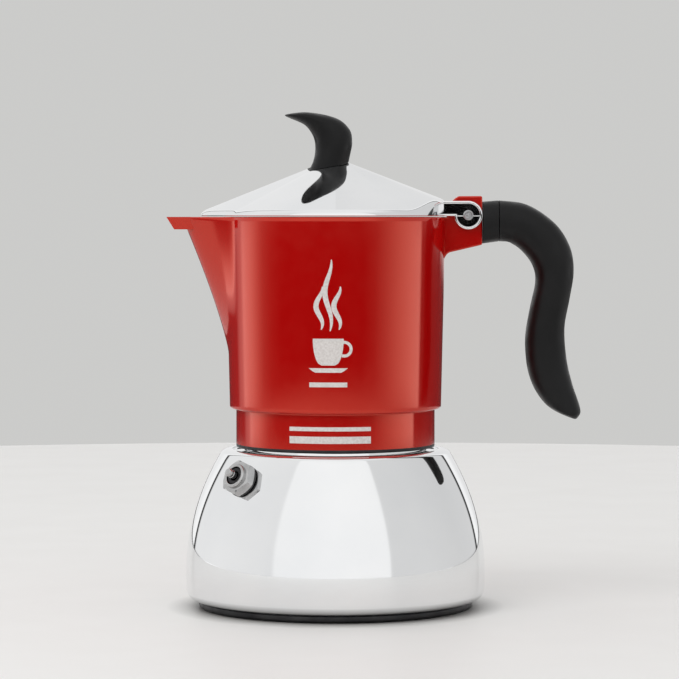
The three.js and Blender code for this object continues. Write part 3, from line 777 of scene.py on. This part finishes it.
def lid_edge(azimuth):
    from_hinge = math.pi - abs(math.remainder(azimuth, TURN))
    return LID_EDGE + (LID_BACK_EDGE - LID_EDGE) * smooth_step(0.85 - from_hinge, 0, 0.5)


def lid_reach(azimuth):
    return LID_RADIUS * beak_factor(LID_RADIUS, LID_BEAK, azimuth)


def cone_top(radius, azimuth):
    return LID_APEX + (lid_edge(azimuth) - LID_APEX) * radius / lid_reach(azimuth)


def lid():
    edge = 0.045  # share of the reach over which the edge is rounded
    edge_drop = 1.1
    wall = 1 - LID_SHEET / LID_RADIUS
    outside, inside, rim, inner_rim = range(4)
    across = [0.95, 0.9, 0.8, 0.7, 0.6, 0.5, 0.4, 0.3, 0.22, 0.16, 0.118, 0.06]
    profile = [(wall, inner_rim), (wall + 0.006, rim), (0.994, rim), (1, inner_rim)]
    profile += [(1 - edge * (1 - math.sin(TURN / 4 * k / 6)), outside) for k in range(6, -1, -1)]
    profile += [(share, outside) for share in across] + [(0, outside), (0, inside)]
    profile += [(share, inside) for share in [*reversed(across), wall]]

    def place(share, azimuth, level):
        radius = share * lid_reach(azimuth)
        if level == rim:
            return radius, LID_RIM
        if level == inner_rim:
            return radius, LID_RIM + 0.22
        surface = cone_top(max(radius, LID_FLAT), azimuth)
        if level == inside:
            return radius, surface - LID_SHEET * (1.35 if share > 0.9 else 1.0)
        past = max(0.0, (share - 1 + edge) / edge)
        return radius, surface - edge_drop * (1 - math.sqrt(max(0.0, 1 - past * past)))

    shell = lathe("lid_shell", profile, place=place, closed=True, sharp=40)
    combine(shell, peg("screw_hole", 1.8, 140, 160), "DIFFERENCE", 40)
    give(shell, "lid", MIRROR, "lid")
    for side, name in ((1, "back"), (-1, "front")):
        lid_ear(side, name)


def lid_ear(side, name):
    """A plate with a raised rim round its outline and a rib across it."""
    face, rim, inset = EAR_OUTSIDE - 0.5, 0.95, EAR_RADIUS - 0.95
    ear_top = HINGE_Z + EAR_RADIUS

    def plate(label, radius, left, floor, low, high):
        outline = [
            (left, floor), (HINGE_X - radius * 0.98, floor),
            *arc(HINGE_X, HINGE_Z, radius, 190, 450, 40), (left, HINGE_Z + radius),
        ]
        return slab(label, outline, *((low, high) if side > 0 else (-high, -low)))

    ear = plate(f"ear_{name}", EAR_RADIUS - 0.1, 36, LID_RIM + 0.1, EAR_INSIDE, face)
    combine(ear, across_hinge(peg("ear_hole", 1.4, -12, 12)), "DIFFERENCE")
    give(drafted(ear, ear_top), "lid", MIRROR)
    border = plate(f"ear_rim_{name}", EAR_RADIUS, 36.5, LID_RIM, EAR_INSIDE + 0.4, EAR_OUTSIDE)
    combine(border, plate("inside", inset, 30, LID_RIM + 0.7, EAR_INSIDE, EAR_OUTSIDE + 1), "DIFFERENCE")
    give(drafted(bevel_ends(border, 0.32), ear_top), "lid", MIRROR)
    left, right, low, high = HINGE_X - rim - 3.6, HINGE_X + 4.2, LID_RIM - 0.15, LID_RIM + 0.2
    depth = (face - 0.2, face + 0.15) if side > 0 else (-face - 0.15, 0.2 - face)
    outline = [(left, low), (left, high), (right, high), (right, low)]
    rib = slab(f"ear_rib_{name}", outline, *depth, bevel=0.06)
    combine(rib, across_hinge(peg("rib_hole", 1.75, -12, 12)), "DIFFERENCE")
    give(drafted(rib, ear_top), "lid", MIRROR)


KNOB_LEFT = [
    (-9.7, 150.4), (-7.8, 154.2), (-7, 158.6), (-7.6, 162.8), (-10.2, 166.6), (-14, 168.6), (-17.4, 169.7),
]
KNOB_RIGHT = [
    (3.9, 151.4), (5.2, 157.2), (5.8, 161), (4.9, 165.4), (0.3, 169.3), (-9, 171.3), (-17.6, 170.9),
]


def knob():
    body = horn(
        "horn_knob", KNOB_LEFT, KNOB_RIGHT, lambda along: 6.7 - 2.2 * along ** 2, round_from=0.86,
        squareness=2.15)
    for vertex in body.data.vertices:
        spot = vertex.co / MM
        radius = max(LID_FLAT, math.hypot(spot.x, spot.y))
        seat = cone_top(radius, math.atan2(spot.y, -spot.x)) + 0.12
        vertex.co.z = max(spot.z, seat) * MM
    tidy_mesh(body.data, 50)
    give(body, "lid", NYLON, "knob")
    under = cone_top(LID_FLAT, TURN / 4) - LID_SHEET
    top = under - 1.55
    screw = lathe("knob_screw_fine", rounded([
        (0, top - 1.8), (2.0, top - 1.8, 0.8), (3.2, top - 0.7, 0.5), (3.2, top, 0.1), (1.5, top, 0.1),
        (1.5, top + 2.5),
    ]) + [(1.5, top + 9.5), (0, top + 10)], 64)
    cross_slot(screw, 1.7, 0.35, top - 3, top - 0.9)
    give(screw, "lid", RAW, "knob_screw")
    low, high = under - 1.25, under - 0.45
    washer = ring("knob_washer_fine", [
        (1.8, low, 0.15), (3.8, low, 0.15), (3.8, high, 0.15), (1.8, high, 0.15),
    ])
    give(washer, "lid", RAW, "knob_washer")


# ---------------------------------------------------------------- handle

GRIP_UPPER = [
    (56.6, 140.9), (64.9, 139.9), (71.5, 136.6), (77.5, 131.3), (81.5, 124), (82.5, 116),
    (81.1, 106.7), (79.4, 97), (80.1, 86.2), (82.1, 77.5), (84.9, 68.9), (84.4, 65.4),
]
GRIP_LOWER = [
    (56.6, 126.8), (60.9, 126), (64.7, 123.3), (68.2, 118.6), (69.3, 113), (67.5, 104),
    (66, 95.5), (65.9, 88.8), (66.9, 81.5), (69.5, 74.9), (74.2, 69.2), (82.3, 64.9),
]


def handle():
    grip = horn(
        "grip", GRIP_UPPER, GRIP_LOWER,
        lambda along: GRIP_DEPTH + GRIP_SWELL * math.sin(math.pi * along),
        steps=150, round_from=0.93, squareness=GRIP_SQUARENESS)
    to_screw = Matrix.Translation((HANDLE_SCREW_X, 0, 0))
    screw_room = moved(peg("screw_room", 2.6, 118, HANDLE_SCREW_TOP + 0.3), to_screw)
    combine(grip, screw_room, "DIFFERENCE", 50)
    give(grip, "collector", NYLON, "handle")
    collar = horn(
        "grip_collar", [(51, 140.5), (56.3, 140.9)], [(51, 126), (56.3, 126.7)],
        lambda along: GRIP_DEPTH, steps=10, squareness=GRIP_SQUARENESS)
    give(collar, "collector", NYLON, "handle_collar")
    top = HANDLE_SCREW_TOP
    screw = lathe("grip_screw", rounded([
        (0, top - 1.6), (2.3, top - 1.6, 0.4), (2.3, top, 0.1), (1.3, top, 0.1), (1.3, top + 0.25),
        (0, top + 0.25),
    ]), 64)
    cross_slot(screw, 1.4, 0.3, top - 3, top - 0.8)
    give(moved(screw, to_screw), "collector", RAW, "handle_screw")


# ---------------------------------------------------------------- print on the collector

INK = 0.06  # how far the ink stands out, in millimetres


def printed(name, rows, radius_at):
    """A thin closed patch on the front wall; rows are equal lists of (across, height) points."""
    columns = len(rows[0])
    vertices = []
    for depth in (0.012, INK):
        for row in rows:
            for across, height in row:
                radius = radius_at(height)
                angle = across / radius
                vertices.append(
                    ((radius + depth) * math.sin(angle), -(radius + depth) * math.cos(angle), height))
    layer = len(rows) * columns
    faces = []
    for i in range(len(rows) - 1):
        for k in range(columns - 1):
            a = i * columns + k
            quad = (a, a + 1, a + columns + 1, a + columns)
            faces += [tuple(reversed(quad)), tuple(layer + v for v in quad)]
    border = list(range(columns))
    border += [i * columns + columns - 1 for i in range(1, len(rows))]
    border += [(len(rows) - 1) * columns + k for k in range(columns - 2, -1, -1)]
    border += [i * columns for i in range(len(rows) - 2, 0, -1)]
    for a, b in zip(border, border[1:] + border[:1]):
        faces.append((a, b, layer + b, layer + a))
    give(mesh_piece(name, vertices, faces), "collector", PRINT)


def stroke(name, path, widths):
    """A line of varying width along a path of (across, height) points."""
    rows = []
    for i, (across, height) in enumerate(path):
        ahead = Vector(path[min(i + 1, len(path) - 1)]) - Vector(path[max(i - 1, 0)])
        side = Vector((-ahead.y, ahead.x)).normalized() * widths[i] / 2
        centre = Vector((across, height))
        rows.append([tuple(centre + side * s) for s in (-1, -0.5, 0, 0.5, 1)])
    printed(name, rows, jug_radius)


def band(name, left, right, low, high, radius_at):
    rows = [[(x, z) for x in steps_between(left, right, 24)] for z in steps_between(low, high, 4)]
    printed(name, rows, radius_at)


def steaming_cup():
    """A plain pictogram: a cup on a saucer under three wisps of steam."""
    middle, cup_low, cup_high = -2.4, 85.5, 94.5
    rows = []
    for z in steps_between(cup_low, cup_high, 14):
        share = (z - cup_low) / (cup_high - cup_low)
        half = 2.2 + 3.0 * math.sqrt(share * (2 - share))
        rows.append([(x, z) for x in steps_between(middle - half, middle + half, 14)])
    printed("print_cup", rows, jug_radius)
    saucer = [[(x, z) for x in steps_between(middle - half, middle + half, 14)]
              for half, z in ((4.4, 83.1), (5.6, 83.8), (6.6, 84.6))]
    printed("print_saucer", saucer, jug_radius)
    ear = arc(middle + 5.4, 91, 2.3, 100, -110, 20)
    stroke("print_cup_ear", ear, [1.0] * len(ear))
    for k, (shift, low, high) in enumerate(((-3.0, 97.5, 112), (0.0, 97, 121), (3.0, 97.5, 112))):
        path = [(middle + shift + 1.1 * math.sin(TURN * 1.2 * t + 0.6), low + (high - low) * t)
                for t in steps_between(0, 1, 40)]
        widths = [0.25 + 1.5 * math.sin(math.pi * t) ** 0.7 for t in steps_between(0, 1, 40)]
        stroke(f"print_steam_{k}", path, widths)
    band("print_bar_under_cup", middle - 6.4, middle + 6.4, 78.2, 79.8, jug_radius)
    band("print_bar_collar_upper", -16, 12.2, 63.2, 64.6, lambda z: SKIRT_OUTER)
    band("print_bar_collar_lower", -16, 12.2, 59.0, 61.4, lambda z: SKIRT_OUTER)


# ---------------------------------------------------------------- floor, light and camera


def floor():
    """A round table; beyond it the studio is dark below the horizon."""
    ground = lathe("floor", [(0, 0), (750, 0)], 128)
    ground.data.materials.append(pale_floor())


class World:
    """A world built from short calls for its nodes."""

    def __init__(self):
        world = bpy.data.worlds.new("studio")
        world.use_nodes = True
        bpy.context.scene.world = world
        self.nodes, self.links = world.node_tree.nodes, world.node_tree.links
        self.nodes.clear()

    def node(self, kind, **inputs):
        made = self.nodes.new(kind)
        for key, value in inputs.items():
            made.inputs[key].default_value = value
        return made

    def math(self, operation, *values):
        made = self.nodes.new("ShaderNodeMath")
        made.operation = operation
        for i, value in enumerate(values):
            if isinstance(value, (int, float)):
                made.inputs[i].default_value = value
            else:
                self.links.new(value, made.inputs[i])
        return made.outputs[0]

    def between(self, value, low, high):
        """0 below low, 1 above high."""
        made = self.nodes.new("ShaderNodeMapRange")
        made.inputs["From Min"].default_value, made.inputs["From Max"].default_value = low, high
        self.links.new(value, made.inputs["Value"])
        return made.outputs["Result"]

    def ramp(self, value, low, high, strongest, stops):
        """Brightness by a value from low to high; each stop is (value, brightness)."""
        made = self.nodes.new("ShaderNodeValToRGB")
        elements = made.color_ramp.elements
        while len(elements) < len(stops):
            elements.new(0.5)
        for element, (place, level) in zip(elements, stops):
            element.position = (place - low) / (high - low)
            element.color = (level / strongest,) * 3 + (1,)
        self.links.new(self.between(value, low, high), made.inputs["Fac"])
        return self.math("MULTIPLY", made.outputs["Color"], strongest)

    def mix(self, share, first, second):
        rest = self.math("SUBTRACT", 1.0, share)
        return self.math("ADD", self.math("MULTIPLY", first, rest), self.math("MULTIPLY", second, share))


def studio_world():
    """A white tent with soft panels; below the horizon, strips of light that only upright walls reflect."""
    world = World()
    place = world.node("ShaderNodeTexCoord")
    split = world.node("ShaderNodeSeparateXYZ")
    world.links.new(place.outputs["Generated"], split.inputs[0])
    x, y, z = split.outputs
    turn = world.math("DEGREES", world.math("ARCTAN2", x, world.math("MULTIPLY", y, -1.0)))
    rise = world.math("DEGREES", world.math("ARCSINE", z))
    # azimuths are degrees from the front, left negative
    tent = world.ramp(turn, -180, 180, 1.2, [
        (-180, 0.87), (-158, 0.9), (-150, 1.0), (-144.5, 1.03), (-143.5, 0.0), (-141, 0.0), (-140, 0.88),
        (-100, 0.9), (-70, 0.87), (-50, 0.86), (-47, 1.0), (0, 1.02), (42, 1.0), (44, 0.75), (75, 0.74),
        (110, 0.7), (140, 0.72), (141, 0.0), (143.5, 0.0), (144.5, 1.03), (150, 1.0), (158, 0.84),
        (180, 0.82),
    ])
    upper = world.mix(world.between(z, 0.82, 0.95), tent, 0.92)
    lower = world.ramp(turn, -180, 180, 2.6, [
        (-180, 0.05), (-150, 0.06), (-131, 0.1), (-127, 0.55), (-119, 1.0), (-115, 1.9), (-101, 1.5),
        (-95, 1.15), (-89, 0.75), (-83, 0.4), (-72, 0.14), (-60, 0.02), (0, 0.0), (30, 0.02), (42, 0.16),
        (56, 0.62), (71, 1.2), (88, 1.7), (101, 1.9), (103, 0.1), (150, 0.06), (180, 0.05),
    ])
    light = world.mix(world.between(rise, -1.7, -1.2), lower, upper)
    studio = world.node("ShaderNodeBackground")
    world.links.new(light, studio.inputs["Strength"])
    studio.inputs["Color"].default_value = (1, 1, 1, 1)
    wall = world.node("ShaderNodeBackground", Color=(0.6, 0.6, 0.59, 1), Strength=1.0)
    seen = world.node("ShaderNodeLightPath")
    choose = world.node("ShaderNodeMixShader")
    world.links.new(seen.outputs["Is Camera Ray"], choose.inputs[0])
    world.links.new(studio.outputs[0], choose.inputs[1])
    world.links.new(wall.outputs[0], choose.inputs[2])
    out = world.node("ShaderNodeOutputWorld")
    world.links.new(choose.outputs[0], out.inputs["Surface"])


def key_light():
    data = bpy.data.lights.new("key", "AREA")
    data.size, data.energy = 0.6, 3
    light = bpy.data.objects.new("key", data)
    light.location = (-0.5, -0.6, 0.9)
    light.rotation_euler = (Vector((0, 0, 0.08)) - light.location).to_track_quat("-Z", "Y").to_euler()
    light.visible_glossy = False
    bpy.context.scene.collection.objects.link(light)


def photo_camera():
    data = bpy.data.cameras.new("camera")
    data.lens, data.sensor_width = 160.6, 36
    data.clip_start = 0.01
    camera = bpy.data.objects.new("camera", data)
    aim = Vector((1.4, 0, 92.7)) * MM
    camera.location = aim + Vector((0, -1050, 44)) * MM
    camera.rotation_euler = (aim - camera.location).to_track_quat("-Z", "Y").to_euler()
    bpy.context.scene.collection.objects.link(camera)
    bpy.context.scene.camera = camera


photo_camera()
boiler()
valve()
funnel()
jug()
column()
hinge_pin()
lid()
knob()
handle()
steaming_cup()
floor()
studio_world()
key_light()
bpy.context.scene.view_settings.view_transform = "Standard"
